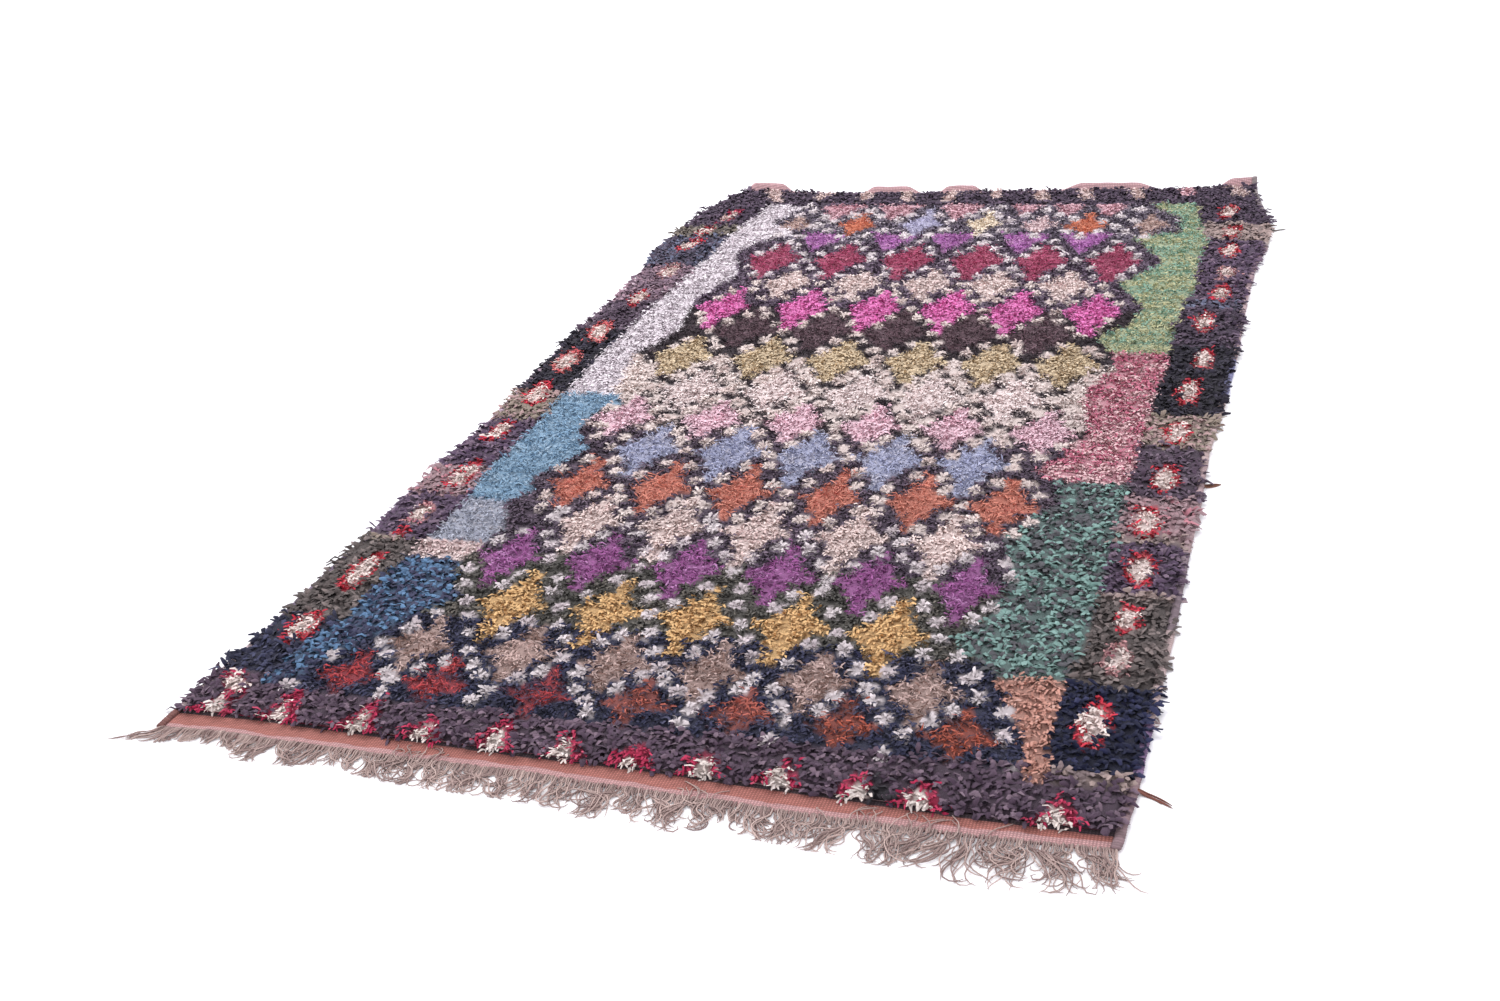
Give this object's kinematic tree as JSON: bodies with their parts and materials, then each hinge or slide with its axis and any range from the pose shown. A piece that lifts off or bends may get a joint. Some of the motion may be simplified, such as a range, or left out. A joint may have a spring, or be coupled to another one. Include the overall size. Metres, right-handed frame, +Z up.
{
  "type": "boucherouite rug",
  "caption": "Flat rectangular shag rug of knotted rag pile with a diamond lattice field and mixed borders, overcast side edges, bare woven end bands and a warp fringe at one end.",
  "frame": {"origin": "on the floor under the middle of the rug, on its flat underside", "axes": "+X across the rug, +Y along its length away from the fringed end, +Z up out of the pile"},
  "size_m": [1.5932, 2.8782, 0.027],
  "materials": {
    "rag_pile": "knotted rag strips and yarn, matt, in many colours",
    "warp_fringe": "loose undyed twisted warp yarn, matt",
    "overcast_yarn": "wound yarn over the outer warps, matt"
  },
  "bodies": {
    "root": {"rug_body": "rag_pile", "fringe_near": "warp_fringe", "selvedge_left": "overcast_yarn", "selvedge_right": "overcast_yarn"}
  },
  "joints": []
}
